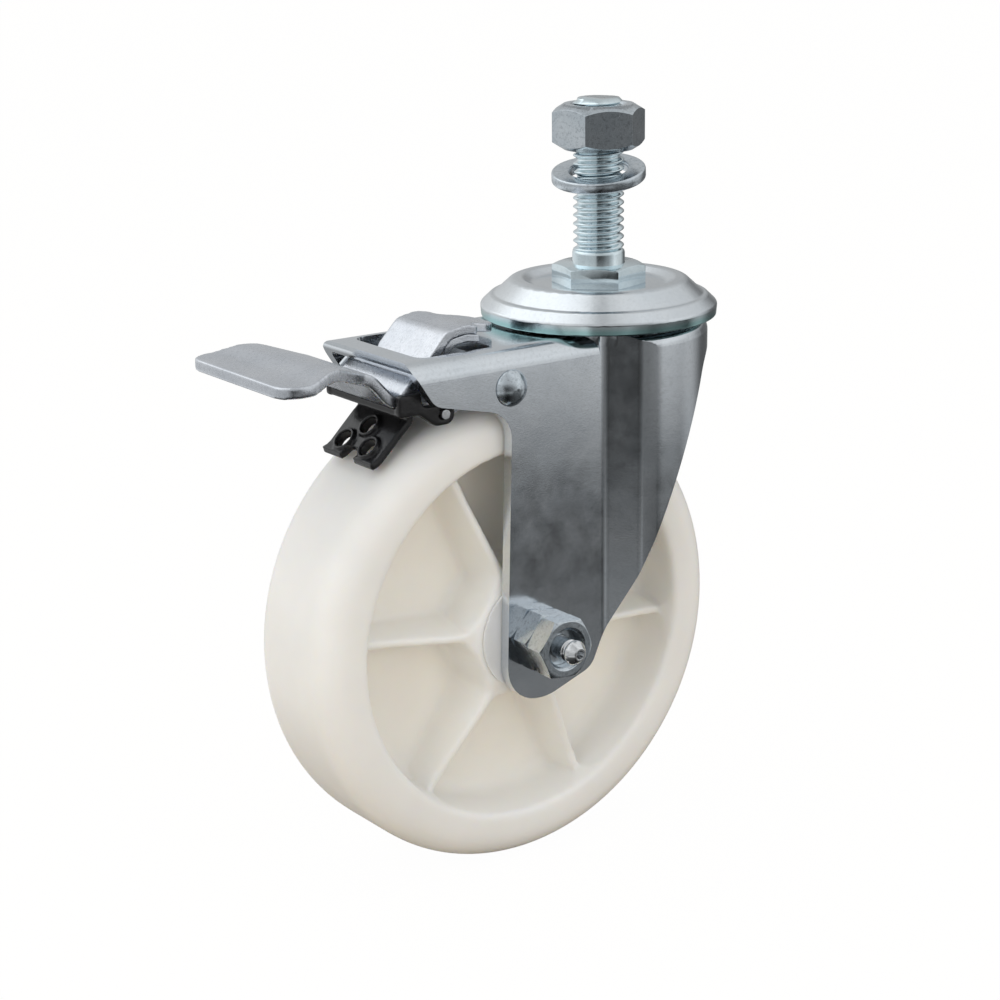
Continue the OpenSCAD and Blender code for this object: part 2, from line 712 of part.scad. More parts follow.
// Direction of the riser, and a point at a distance along its inner face
riser_way = unit([valley_back - riser_back, riser_rise - valley_rise]);
function on_riser(s) = [valley_x, valley_z] + pedal_sheet * [riser_way[1], -riser_way[0]] + s * riser_way;

// Outer face of the tongue in X and Z: up the riser's inner face, then the blade and the tip
function tongue_line() =
    let (foot = on_riser(2.5), bend = on_riser(17.9), tip_x = rivet_x + 5.9)
    [
        [foot[0], foot[1], 0], [bend[0], bend[1], 4], [rivet_x - 5.3, rivet_z + 12.4, 8], [tip_x, rivet_z + 10.5, 0]
    ];

// Plan of the tongue: a straight blade with a narrower rounded tip
function tongue_plan() =
    let (half = tongue_w / 2, tip_half = tongue_w * 0.3, end_x = rivet_x - 2.1, tip_x = rivet_x + 5.8)
    rounded([
        [-fork_reach, -half, 0], [end_x, -half, 1.2], [end_x, -tip_half, 1.5], [tip_x, -tip_half, 4.5],
        [tip_x, tip_half, 4.5], [end_x, tip_half, 1.5], [end_x, half, 1.2], [-fork_reach, half, 0]
    ]);

module lock_tongue() {
    color(zinc) intersection() {
        across(bent(tongue_line(), tongue_t), -tongue_w, tongue_w);
        translate([0, 0, -beyond]) linear_extrude(beyond) polygon(tongue_plan());
    }
}

// Leaf in contact with the underside of the tongue's blade
module lock_leaf() {
    leaf_len = 8.4;
    end_x = rivet_x - 2.1;
    color(zinc) intersection() {
        across(bent(moved(tongue_line(), tongue_t), leaf_t), -tongue_w / 2, tongue_w / 2);
        translate([end_x - leaf_len, -tongue_w, rivet_z + lug_r]) cube([leaf_len, 2 * tongue_w, beyond]);
    }
}

// Brake shoe

shoe_y = shoe_w / 2;
clip_in_y = arm_y + 0.15;
clip_y = clip_in_y + shoe_sheet;
seat_y = clip_y - 0.5;
web_x = pin_x - 4.4;
clip_x = web_x - 6.2;
seat_z = rivet_z - 1.7;
seat_under_z = seat_z - shoe_sheet;
toe_x = rivet_x - 28.3;
toe_z = rivet_z - 15.15;
notch_w = 4.6;
hole_r = 2.0;
collar_t = 0.7;
bend_z = rivet_z - 5.75;
shoe_slope = atan2(toe_z - bend_z, web_x - toe_x);

// Face of the shoe in X and Z: seat under the arm, web, and plate down to the toes
function shoe_line() = [
    [clip_x, seat_z, 0], [web_x, seat_z, 1.8], [web_x, bend_z, 1.8], [toe_x + 1.6, toe_z + 1.5, 5],
    [toe_x - 0.2, toe_z + 0.9, 0]
];

// Clip beside the arm, with the ear that goes round under the pin
function shoe_clip() =
    let (top_z = rivet_z + 1.2, low_z = seat_under_z - 0.2, front_x = clip_x - 0.2)
    rounded([
        [front_x, low_z, 0.8], [front_x, top_z, 1], [front_x + 5.4, top_z, 1], [front_x + 5.6, pin_z + 2.2, 1.2],
        [pin_x + 2.6, pin_z + 2.0, 1.6], [pin_x + 2.6, pin_z - 2.3, 2.0], [pin_x - 2.0, pin_z - 2.3, 2.0],
        [web_x - 1.5, low_z, 1.5]
    ]);

// Cylinders square to the sloping plate at its three holes, from z0 to z1 off the face towards the wheel
module shoe_holes(r, z0, z1) {
    mid_x = (web_x + toe_x) / 2;
    mid_z = (bend_z + toe_z) / 2;
    for (place = [[2.2, 0], [-2.4, -4.5], [-2.4, 4.5]])
        translate([mid_x, place[1], mid_z]) rotate([0, shoe_slope, 0])
            translate([place[0], 0, z0]) cylinder(h = z1 - z0, r = r, $fn = 32);
}

module brake_shoe() {
    color(black) difference() {
        union() {
            difference() {
                across(bent(shoe_line(), shoe_sheet), -seat_y, seat_y);
                for (y0 = [-seat_y - cut, shoe_y]) translate([toe_x - hole_r, y0, toe_z - hole_r])
                    cube([web_x - toe_x + 2 * hole_r, seat_y - shoe_y + cut, seat_under_z - 0.4 - toe_z + hole_r]);
            }
            for (side = [-1, 1]) {
                y0 = side > 0 ? clip_in_y : -clip_y;
                across(shoe_clip(), y0, y0 + shoe_sheet);
            }
            shoe_holes(hole_r + collar_t, 0.2, shoe_sheet + 0.9);
        }
        shoe_holes(hole_r, -5, 5);
        rod_y(pin_d / 2 + shaft_play, pin_x, pin_z, -beyond, beyond);
        translate([toe_x - 5, -notch_w / 2, toe_z - 5]) cube([7.4, notch_w, 8.5]);
    }
}

module shoe_pin() {
    end_y = clip_y + 0.7;
    color(steel) rod_y(pin_d / 2, pin_x, pin_z, -end_y, end_y);
}

// Torsion spring: a wire swept along a helix round the pin

wire_r = 0.45;
coil_r = pin_d / 2 + wire_r + 0.2;
coil_turns = 6;
coil_half = 4.2;
wire_sides = 8;
coil_steps = 14;

// Centre line of the spring: a leg, the helix and the other leg, all in the shoe's own space
function spring_path() =
    let (n = coil_turns * coil_steps, start = [coil_r, -coil_half, 0], stop = [coil_r, coil_half, 0])
    concat(
        [start + [0, -0.4, 5]],
        [for (i = [0:n]) let (a = -360 * i / coil_steps)
            [coil_r * cos(a), -coil_half + 2 * coil_half * i / n, -coil_r * sin(-a)]],
        [stop + [0, 0.4, -0.5]]
    );

// Tube of round wire along a path, with its rings square to the path
module wire(path, r, sides) {
    n = len(path);
    function along(i) = unit(path[min(i + 1, n - 1)] - path[max(i - 1, 0)]);
    function ring(i) =
        let (t = along(i), side = unit(cross(t, [0, 1, 0])), up = cross(t, side))
        [for (k = [0:sides - 1]) path[i] + r * (cos(360 * k / sides) * side + sin(360 * k / sides) * up)];
    polyhedron(
        points = [for (i = [0:n - 1]) each ring(i)],
        faces = concat(
            [[for (k = [sides - 1:-1:0]) k]],
            [for (i = [0:n - 2], k = [0:sides - 1])
                [i * sides + k, i * sides + (k + 1) % sides, (i + 1) * sides + (k + 1) % sides, (i + 1) * sides + k]],
            [[for (k = [0:sides - 1]) (n - 1) * sides + k]]
        )
    );
}

module shoe_spring() {
    color(black) translate([pin_x, 0, pin_z]) wire(spring_path(), wire_r, wire_sides);
}

stem_bolt();
stem_nut();
lock_washer();
swivel_cap();
upper_balls();
lower_balls();
lower_race();
fork();
axle();
axle_nut_inner();
axle_nut_outer();
grease_fitting();
spanner_bushing();
brake_rivet();
thrust_washer_near();
thrust_washer_far();
wheel();
bearing_cage();
bearing_rollers();
pedal();
lock_tongue();
lock_leaf();
brake_shoe();
shoe_pin();
shoe_spring();
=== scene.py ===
# %% [markdown]
# # A threaded stem castor
# This lesson dresses the solid model of a castor: a white nylon wheel in a pressed and zinc-plated
# fork, with a threaded stem, a nut, a lock washer and a foot brake. The solids already have their
# real size and place. What they lack is the finish: broken edges, moulded roundings, the thread of
# the stem, and the surfaces of plated steel, nylon and black oxide.

# %% Load the solid model
import bpy
from math import radians, pi, cos, sin, atan2, copysign
from mathutils import Matrix, Vector


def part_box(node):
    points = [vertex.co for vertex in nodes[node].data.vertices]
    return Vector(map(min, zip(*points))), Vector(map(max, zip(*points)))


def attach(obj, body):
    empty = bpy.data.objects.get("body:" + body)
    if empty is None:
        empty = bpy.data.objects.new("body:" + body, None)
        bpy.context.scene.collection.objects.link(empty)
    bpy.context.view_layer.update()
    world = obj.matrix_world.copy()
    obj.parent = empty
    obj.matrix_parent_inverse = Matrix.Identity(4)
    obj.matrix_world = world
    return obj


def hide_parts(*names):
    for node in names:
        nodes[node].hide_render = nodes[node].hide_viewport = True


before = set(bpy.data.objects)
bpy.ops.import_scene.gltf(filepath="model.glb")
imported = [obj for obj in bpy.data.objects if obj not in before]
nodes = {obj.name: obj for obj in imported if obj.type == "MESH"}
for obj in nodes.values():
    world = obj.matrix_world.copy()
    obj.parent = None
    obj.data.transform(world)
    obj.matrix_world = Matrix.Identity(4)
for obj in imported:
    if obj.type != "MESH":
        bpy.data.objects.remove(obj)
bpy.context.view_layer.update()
print("nodes loaded:", len(nodes))

# %% [markdown]
# ## Helpers for the modelling
# Blender's operators act on whatever is selected, and the loaded nodes arrive selected. So every
# step starts from a clean selection with one active object. A few short helpers keep the later
# cells readable.

# %% Selection and modifiers
MM = 0.001
MERGE = 0.002 * MM       # points nearer than this become one
SPARE = 0.02 * MM        # how far a cutter stands past the piece
FLAT = radians(0.4)      # faces that bend less than this become one
SHARP = radians(38)      # edges that bend more than this are broken


def only(piece):
    """Selects one object and makes it the active one."""
    bpy.ops.object.select_all(action="DESELECT")
    piece.select_set(True)
    bpy.context.view_layer.objects.active = piece


def edit_all(piece):
    """Enters edit mode with the whole mesh selected."""
    only(piece)
    bpy.ops.object.mode_set(mode="EDIT")
    bpy.ops.mesh.select_all(action="SELECT")


def leave_edit():
    bpy.ops.object.mode_set(mode="OBJECT")


def add_modifier(piece, kind, **settings):
    """Adds a modifier with its settings and applies it."""
    only(piece)
    modifier = piece.modifiers.new(kind.title(), kind)
    for name, value in settings.items():
        setattr(modifier, name, value)
    bpy.ops.object.modifier_apply(modifier=modifier.name)


def smooth(piece, angle=32):
    """Shades the mesh smooth, except across edges sharper than the angle."""
    only(piece)
    bpy.ops.object.shade_smooth_by_angle(angle=radians(angle))


def report(piece):
    print(piece.name, "has", len(piece.data.polygons), "faces")


# %% [markdown]
# ## Pieces that keep their solid shape
# A solid node is exact, but its edges are perfectly sharp and its mesh is loose triangles. On the
# real castor every sheared or machined edge is broken, and that thin line catches the light. So
# each visible piece is a copy of its node: the triangles are merged, flat areas become single
# faces, and a narrow bevel runs along the edges. Modelling each piece again from a primitive would
# only lose its fit.

# %% Copy a node and break its edges
def copy_of(node):
    """An independent copy of a node's mesh, merged and with its flat areas joined."""
    only(nodes[node])
    bpy.ops.object.duplicate()
    piece = bpy.context.object
    piece.parent = None
    piece.name = node + "_finished"
    for key in list(piece.keys()):
        del piece[key]
    edit_all(piece)
    bpy.ops.mesh.remove_doubles(threshold=MERGE)
    bpy.ops.mesh.dissolve_limited(angle_limit=FLAT)
    leave_edit()
    return piece


CONE = 0.62     # height over width of a nut's corner chamfer, about 32 degrees


def chamfer_ends(piece, axis, width):
    """Cuts the corners at both ends of a nut on a cone. The axis is 1 for Y, 2 for Z."""
    corners = [Vector(corner) for corner in piece.bound_box]
    middle = (corners[0] + corners[6]) / 2
    length = ((corners[6] - corners[0])[axis] + SPARE) / CONE
    spans = [vertex.co - middle for vertex in piece.data.vertices]
    radius = max((span.length_squared - span[axis] ** 2) ** 0.5 for span in spans)
    bpy.ops.object.select_all(action="DESELECT")
    bpy.ops.mesh.primitive_cylinder_add(vertices=96, radius=radius, depth=length, location=(0, 0, 0))
    cutter = bpy.context.object
    for end in (-1, 1):
        bpy.ops.object.mode_set(mode="EDIT")
        bpy.ops.mesh.select_all(action="DESELECT")
        leave_edit()
        for vertex in cutter.data.vertices:
            vertex.select = end * vertex.co.z > 0.499 * length
        bpy.ops.object.mode_set(mode="EDIT")
        bpy.ops.mesh.bevel(offset=width * MM, segments=1)
    bpy.ops.mesh.select_all(action="SELECT")
    bpy.ops.transform.resize(value=(1, 1, CONE), center_override=(0, 0, 0))
    if axis == 1:
        bpy.ops.transform.rotate(value=pi / 2, orient_axis="X", center_override=(0, 0, 0))
    bpy.ops.transform.translate(value=tuple(middle))
    leave_edit()
    add_modifier(piece, "BOOLEAN", operation="INTERSECT", object=cutter, solver="EXACT")
    bpy.data.objects.remove(cutter)


def finished(node, body, edge, chamfer=None):
    """The copy that stands for the node, with its edges broken by a bevel of the width edge in mm."""
    piece = copy_of(node)
    if chamfer:
        chamfer_ends(piece, *chamfer)
    add_modifier(piece, "BEVEL", width=edge * MM, segments=2, limit_method="ANGLE",
                 angle_limit=SHARP, use_clamp_overlap=True, miter_outer="MITER_ARC")
    smooth(piece)
    add_modifier(piece, "WEIGHTED_NORMAL", keep_sharp=True)
    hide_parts(node)
    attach(piece, body)
    report(piece)
    return piece


def softened(node, body, grain, passes):
    """The copy that stands for the node, rebuilt as an even mesh with a grain in mm and relaxed."""
    piece = copy_of(node)
    add_modifier(piece, "REMESH", mode="VOXEL", voxel_size=grain * MM)
    add_modifier(piece, "SMOOTH", factor=0.5, iterations=passes)
    only(piece)
    bpy.ops.object.shade_smooth()
    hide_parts(node)
    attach(piece, body)
    report(piece)
    return piece


# %% [markdown]
# ## Zinc plate
# Electroplated zinc is a bright bluish grey. It mirrors its surroundings softly, with cloudy
# patches where the plating is thicker, a fine grain and a few darker spots. One material for each
# part of the castor would be tedious, so a function builds it from a base colour, a cloud colour
# and the size of the clouds. Colour, roughness and bump all follow noise on object coordinates.

# %% Node helpers
def new_material(name):
    material = bpy.data.materials.new(name)
    material.use_nodes = True
    tree = material.node_tree
    return material, tree, tree.nodes["Principled BSDF"]


def node_of(tree, kind, **inputs):
    """Adds a shader node and sets its inputs by name, with _ for a space."""
    made = tree.nodes.new(kind)
    for name, value in inputs.items():
        made.inputs[name.replace("_", " ")].default_value = value
    return made


def noise(tree, scale, detail=4.0, rough=0.55, stretch=None):
    """Noise on object coordinates, in cycles per metre, and stretched if asked."""
    place = tree.nodes.new("ShaderNodeTexCoord")
    made = node_of(tree, "ShaderNodeTexNoise", Scale=scale, Detail=detail, Roughness=rough)
    source = place.outputs["Object"]
    if stretch:
        mapping = node_of(tree, "ShaderNodeMapping", Scale=stretch)
        tree.links.new(source, mapping.inputs["Vector"])
        source = mapping.outputs["Vector"]
    tree.links.new(source, made.inputs["Vector"])
    return made.outputs["Fac"]


def ramp(tree, source, stops):
    """Colour ramp with stops of (position, colour) or (position, grey)."""
    made = tree.nodes.new("ShaderNodeValToRGB")
    band = made.color_ramp.elements
    band[0].position = stops[0][0]
    band[1].position = stops[-1][0]
    for position, colour in stops[1:-1]:
        band.new(position)
    for element, (position, colour) in zip(band, stops):
        element.color = (*colour, 1) if isinstance(colour, tuple) else (colour, colour, colour, 1)
    tree.links.new(source, made.inputs["Fac"])
    return made.outputs["Color"]


def feed(tree, sockets, values):
    """Gives each socket its value: a link, a number or a colour."""
    for socket, value in zip(sockets, values):
        if isinstance(value, bpy.types.NodeSocket):
            tree.links.new(value, socket)
        elif isinstance(value, (int, float)):
            socket.default_value = value
        else:
            socket.default_value = (*value, 1)


def blend(tree, fac, a, b, mode="MIX"):
    """Mix of two colours."""
    made = tree.nodes.new("ShaderNodeMix")
    made.data_type = "RGBA"
    made.blend_type = mode
    feed(tree, (made.inputs[0], made.inputs[6], made.inputs[7]), (fac, a, b))
    return made.outputs[2]


def mix_shaders(tree, fac, a, b):
    """Mix of two shaders."""
    made = tree.nodes.new("ShaderNodeMixShader")
    feed(tree, made.inputs, (fac, a, b))
    return made.outputs[0]


def calculated(tree, operation, a, b):
    """Result of a calculation with two numbers."""
    made = tree.nodes.new("ShaderNodeMath")
    made.operation = operation
    feed(tree, made.inputs, (a, b))
    return made.outputs[0]


def scaled(tree, source, low_value, high_value):
    """The source mapped from its range to 0..1."""
    made = node_of(tree, "ShaderNodeMapRange")
    made.inputs["From Min"].default_value = low_value
    made.inputs["From Max"].default_value = high_value
    tree.links.new(source, made.inputs["Value"])
    return made.outputs["Result"]


def bump(tree, shader, source, distance, strength=1.0):
    """Adds a bump from a grey source to the shader, over any bump that it has already."""
    made = node_of(tree, "ShaderNodeBump", Strength=strength, Distance=distance)
    tree.links.new(source, made.inputs["Height"])
    for link in list(shader.inputs["Normal"].links):
        tree.links.new(link.from_socket, made.inputs["Normal"])
    tree.links.new(made.outputs["Normal"], shader.inputs["Normal"])


# %% Zinc for sheet, stem and fasteners
SPOTS, GRAIN, WAVES = 1400.0, 3800.0, 170.0     # in cycles per metre


def zinc(name, light, dark, roughness, cloud=60.0, grain=0.000004, speckle=0.85):
    """Plated steel: faint clouds between two colours, uneven polish, fine grain and slight waves."""
    material, tree, shader = new_material(name)
    clouds = noise(tree, cloud, detail=6.0, rough=0.6)
    spots = noise(tree, SPOTS, detail=3.0, rough=0.7)
    body = ramp(tree, clouds, [(0.30, dark), (0.68, light)])
    speckled = ramp(tree, spots, [(0.34, speckle), (0.5, 1.0)])
    tree.links.new(blend(tree, 1.0, body, speckled, "MULTIPLY"), shader.inputs["Base Color"])
    low, high = roughness
    polish = ramp(tree, noise(tree, cloud * 3.1, detail=5.0), [(0.3, low), (0.7, high)])
    tree.links.new(polish, shader.inputs["Roughness"])
    shader.inputs["Metallic"].default_value = 1.0
    bump(tree, shader, noise(tree, GRAIN, detail=2.0), grain)
    bump(tree, shader, noise(tree, WAVES, detail=2.0), 0.00001)
    print("made material", name)
    return material


RIM_Z, RIM_DEPTH, TEAL = -8.6 * MM, 1.5 * MM, (0.40, 0.62, 0.62)


def tint_rim(material):
    """Blends the material to teal below the height of the cap's rim, fully teal from RIM_DEPTH lower down.
    """
    tree = material.node_tree
    shader = tree.nodes["Principled BSDF"]
    place = tree.nodes.new("ShaderNodeTexCoord")
    axes = tree.nodes.new("ShaderNodeSeparateXYZ")
    tree.links.new(place.outputs["Object"], axes.inputs[0])
    share = ramp(tree, scaled(tree, axes.outputs["Z"], RIM_Z - RIM_DEPTH, RIM_Z), [(0.0, 1.0), (1.0, 0.0)])
    base = shader.inputs["Base Color"].links[0].from_socket
    tree.links.new(blend(tree, share, base, TEAL), shader.inputs["Base Color"])


zinc_sheet = zinc("zinc_sheet", (0.75, 0.78, 0.81), (0.66, 0.70, 0.74), (0.11, 0.18), speckle=0.93)
zinc_cap = zinc("zinc_cap", (0.78, 0.81, 0.83), (0.70, 0.74, 0.78), (0.12, 0.22), speckle=0.95)
tint_rim(zinc_cap)
zinc_pedal = zinc("zinc_pedal", (0.74, 0.76, 0.80), (0.64, 0.67, 0.72), (0.22, 0.34),
                  cloud=110.0, grain=0.00003, speckle=0.86)
zinc_stem = zinc("zinc_stem", (0.80, 0.89, 0.92), (0.68, 0.79, 0.84), (0.08, 0.16),
                 cloud=150.0, speckle=0.92)
zinc_nut = zinc("zinc_nut", (0.70, 0.75, 0.79), (0.58, 0.64, 0.69), (0.16, 0.28),
                cloud=150.0, grain=0.00001, speckle=0.75)
bright_steel = zinc("bright_steel", (0.82, 0.83, 0.84), (0.70, 0.72, 0.74), (0.08, 0.16), cloud=90.0)

# %% [markdown]
# ## Nylon
# Cast white nylon lets a little light into it. Its thick tread looks ivory white, and the thinner
# web and the deep corners look warmer. Subsurface scattering gives the softness. The web and the
# deep corners also get a lighter, warmer colour: painted light, standing in for light that bounces
# in the recesses and shines through the thin web. This painted glow follows the distances from the
# axle and from the wheel's middle plane. Both are read from object coordinates, so the painted glow
# stays with the wheel.

# %% Nylon for the wheel
low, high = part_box("wheel")
AXLE = (low + high) / 2
WEB_FACE, RIM_FACE = 2.0 * MM, 14.0 * MM        # distances from the wheel's middle plane
RIM_IN, RIM_OUT = 38.5 * MM, 42.5 * MM          # distances from its axis
# the second and third colours are painted light: lighter warm tones for the web and the deep corners, in
# place of light that bounces there and shines through the thin nylon
IVORY, HALF_GLOW, PAINTED_GLOW = (0.865, 0.865, 0.85), (0.885, 0.88, 0.85), (0.92, 0.90, 0.85)


def distance(tree, axes, origin=(0.0, 0.0, 0.0)):
    """Distance from an origin, measured along the axes marked with 1, in metres."""
    place = tree.nodes.new("ShaderNodeTexCoord")
    shift = node_of(tree, "ShaderNodeMapping", Location=[-o * a for o, a in zip(origin, axes)], Scale=axes)
    tree.links.new(place.outputs["Object"], shift.inputs["Vector"])
    length = tree.nodes.new("ShaderNodeVectorMath")
    length.operation = "LENGTH"
    tree.links.new(shift.outputs["Vector"], length.inputs[0])
    return length.outputs["Value"]


nylon, tree, shader = new_material("nylon")
from_middle = distance(tree, (0.0, 1.0, 0.0))
from_axle = distance(tree, (1.0, 0.0, 1.0), AXLE)
depth = scaled(tree, from_middle, WEB_FACE, RIM_FACE)
# painted glow: the lighter warm tone at the web, fading to ivory towards the rim's face
inside = ramp(tree, depth, [(0.0, PAINTED_GLOW), (0.75, HALF_GLOW), (1.0, IVORY)])
outer = ramp(tree, scaled(tree, from_axle, RIM_IN, RIM_OUT), [(0.0, 0.0), (1.0, 1.0)])
body = blend(tree, outer, inside, IVORY)
mottle = ramp(tree, noise(tree, 45.0, detail=3.0), [(0.3, 0.95), (0.7, 1.0)])
tree.links.new(blend(tree, 1.0, body, mottle, "MULTIPLY"), shader.inputs["Base Color"])
tree.links.new(ramp(tree, noise(tree, 130.0), [(0.3, 0.30), (0.7, 0.42)]), shader.inputs["Roughness"])
shader.inputs["Subsurface Weight"].default_value = 0.35
shader.inputs["Subsurface Radius"].default_value = (1.0, 0.8, 0.55)
shader.inputs["Subsurface Scale"].default_value = 0.004
shader.inputs["IOR"].default_value = 1.5
bump(tree, shader, noise(tree, 900.0, detail=2.0), 0.00001)
bump(tree, shader, noise(tree, 90.0, detail=2.0), 0.00008)
print("made material nylon")

# %% [markdown]
# ## Black parts
# The brake shoe is blackened steel with a semi-gloss lacquer, slightly uneven like orange peel. The
# cage of the bearing is matt black plastic.

# %% Black finishes
def black(name, colour, roughness, peel):
    material, tree, shader = new_material(name)
    worn = tuple(c * 1.8 for c in colour)
    tone = ramp(tree, noise(tree, 300.0, detail=5.0), [(0.35, colour), (0.7, worn)])
    tree.links.new(tone, shader.inputs["Base Color"])
    low, high = roughness
    polish = ramp(tree, noise(tree, 500.0), [(0.3, low), (0.7, high)])
    tree.links.new(polish, shader.inputs["Roughness"])
    bump(tree, shader, noise(tree, 1500.0, detail=2.0), peel)
    print("made material", name)
    return material


black_lacquer = black("black_lacquer", (0.008, 0.008, 0.009), (0.14, 0.26), 0.00003)
black_plastic = black("black_plastic", (0.02, 0.02, 0.02), (0.5, 0.65), 0.00001)

# %% [markdown]
# ## Sheet-metal pieces
# The fork is one pressed sheet, and the cap, the pedal and the leaves of the lock are pressings
# too. Their shapes are right as they are, so they only get broken edges and their plating. The
# pedal, the tongue and the shoe were tumbled until their edges were round. For those the surface is
# rebuilt from small even faces and relaxed.

# %% Fork, cap and brake
def dress(piece, material):
    """Gives the piece one material."""
    piece.data.materials.clear()
    piece.data.materials.append(material)
    return piece


dress(finished("fork", "fork", edge=0.3), zinc_sheet)
dress(finished("swivel_cap", "stem", edge=0.2), zinc_cap)
dress(softened("pedal", "pedal", 0.36, 6), zinc_pedal)
dress(softened("lock_tongue", "pedal", 0.3, 5), zinc_pedal)
dress(finished("lock_leaf", "pedal", edge=0.3), zinc_pedal)
dress(softened("brake_shoe", "pedal", 0.26, 5), black_lacquer)
dress(finished("brake_rivet", "fork", edge=0.15), zinc_nut)

# %% [markdown]
# ## Nuts and axle
# A hexagon nut has a corner chamfer on each end and slightly rounded edges. The bevel here is
# narrower than on the sheet metal, as machined edges are.

# %% Fasteners
dress(finished("stem_nut", "stem", edge=0.25, chamfer=(2, 2.7)), zinc_nut)
dress(finished("axle_nut_inner", "fork", edge=0.15, chamfer=(1, 0.9)), zinc_nut)
dress(finished("axle_nut_outer", "fork", edge=0.15, chamfer=(1, 0.9)), zinc_nut)
dress(finished("axle", "fork", edge=0.15), zinc_nut)
dress(finished("grease_fitting", "fork", edge=0.12), bright_steel)
dress(finished("spanner_bushing", "fork", edge=0.1), bright_steel)
dress(finished("shoe_pin", "pedal", edge=0.15), bright_steel)

# %% [markdown]
# ## Inner pieces
# Balls, rollers, washers and the spring show only in gaps, so their nodes stay as they are and
# just get their material.

# %% Materials of the inner pieces
INNER = {
    "upper_balls": bright_steel, "lower_balls": bright_steel, "lower_race": bright_steel,
    "thrust_washer_near": nylon, "thrust_washer_far": nylon,
    "bearing_rollers": bright_steel, "bearing_cage": black_plastic, "shoe_spring": black_lacquer,
}
for name, material in INNER.items():
    dress(nodes[name], material)
print("inner pieces:", len(INNER))

# %% [markdown]
# ## The wheel
# A moulded wheel has no sharp edge inside: ribs flow into the hub, the rim and the web. One way is
# to fillet each junction by hand, with a lot of work at the corners where three meet. A quicker way
# is to rebuild the surface of the whole solid as small even faces and relax them, which rounds
# every junction by about the same radius.

# %% Moulded roundings on the wheel
wheel = copy_of("wheel")
add_modifier(wheel, "REMESH", mode="VOXEL", voxel_size=0.75 * MM)
add_modifier(wheel, "SMOOTH", factor=0.5, iterations=4)
report(wheel)

# %% [markdown]
# The ribs of a moulded wheel have draft: they are thick at the web and thin at their edge, and the
# edge falls away towards the rim. The even mesh makes this easy. Each point near a rib moves
# sideways to the wanted thickness, the points beside the rib follow in proportion, and the edge
# sinks more the farther out it is.

# %% Draft on the ribs
HUB_R, RECESS_R = 13.0 * MM, 40.3 * MM          # where the ribs begin and end
WEB_Y, EDGE_Y = 2.0 * MM, 13.0 * MM             # their root and their edge
RIB_HALF, FLARE = 1.5 * MM, 3.2 * MM            # half thickness in the solid, and more at both ends
ROOT_HALF, EDGE_HALF = 2.6 * MM, 0.75 * MM      # half thickness wanted
EDGE_FALL, REACH = 3.4 * MM, 7.0 * MM           # how far the edge sinks, and how far points are moved
RIB_TURN, RIB_STEP = radians(-6), radians(60)


def ease(low, high, value):
    """0 up to low, 1 from high on, and a soft step between them."""
    part = min(1.0, max(0.0, (value - low) / (high - low)))
    return part * part * (3 - 2 * part)


def drafted(point):
    """The place that a point of the wheel moves to."""
    x, y, z = point.x - AXLE.x, point.y, point.z - AXLE.z
    radius = (x * x + z * z) ** 0.5
    past_hub = ease(HUB_R, HUB_R + 3 * MM, radius)
    at_rim = ease(RECESS_R - 1.2 * MM, RECESS_R - 0.1 * MM, radius)
    inside = past_hub * (1 - at_rim)
    if not inside:
        return point
    turn = atan2(z, x) - RIB_TURN
    rib = round(turn / RIB_STEP) * RIB_STEP
    aside = radius * (turn - rib)
    reach = min(REACH, radius * RIB_STEP / 2 - 0.2 * MM)
    if abs(aside) > reach:
        return point
    up = min(1.0, max(0.0, (abs(y) - WEB_Y) / (EDGE_Y - WEB_Y)))
    flare_out = ease(RECESS_R - 5 * MM, RECESS_R + 1 * MM, radius)
    flare_in = 1 - ease(HUB_R - 1 * MM, HUB_R + 4 * MM, radius)
    now = RIB_HALF + FLARE * (flare_out + flare_in)
    wanted = ROOT_HALF + (EDGE_HALF - ROOT_HALF) * up
    wanted = now + (wanted - now) * inside
    size = abs(aside)
    if size < now:
        moved = size * wanted / now
    else:
        moved = wanted + (size - now) * (reach - wanted) / (reach - now)
    angle = copysign(moved / radius, aside) + rib + RIB_TURN
    fall = EDGE_FALL * up * inside * ease(HUB_R, RECESS_R, radius)
    fall = copysign(fall * (1 - ease(wanted + 1.5 * MM, reach, moved)), y)
    return Vector((AXLE.x + radius * cos(angle), y - fall, AXLE.z + radius * sin(angle)))


for vertex in wheel.data.vertices:
    vertex.co = drafted(vertex.co)
add_modifier(wheel, "SMOOTH", factor=0.5, iterations=3)
only(wheel)
bpy.ops.object.shade_smooth()
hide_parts("wheel")
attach(wheel, "wheel")
dress(wheel, nylon)
report(wheel)

# %% [markdown]
# ## The lock washer
# A split lock washer is one turn of a square bar wound as a spring, so its ends stand a little apart
# in height. Cutting a slit in a ring would leave them level. Here the Screw modifier winds the bar's
# section round the stem with a small rise. The washer is loose, so it hangs tilted on the thread.

# %% Lock washer as one turn of a bar
WASHER_IN, WASHER_OUT, WASHER_T = 6.22 * MM, 10.0 * MM, 2.3 * MM
WASHER_Z, WASHER_RISE = 18.9 * MM, 0.7 * MM
TILT, LEAN, SLIT = radians(11.4), radians(-51.0), radians(62.0)
GAP = radians(9)
bpy.ops.object.select_all(action="DESELECT")
bpy.ops.mesh.primitive_plane_add(size=1, location=(0, 0, 0))
washer = bpy.context.object
washer.name = "lock_washer_bar"
edit_all(washer)
bpy.ops.transform.resize(value=(WASHER_OUT - WASHER_IN, WASHER_T, 1))
bpy.ops.mesh.bevel(offset=0.45 * MM, segments=3, affect="VERTICES")
bpy.ops.mesh.delete(type="ONLY_FACE")
bpy.ops.mesh.select_all(action="SELECT")
bpy.ops.transform.rotate(value=pi / 2, orient_axis="X", center_override=(0, 0, 0))
bpy.ops.transform.translate(value=((WASHER_IN + WASHER_OUT) / 2, 0, -WASHER_RISE / 2))
leave_edit()
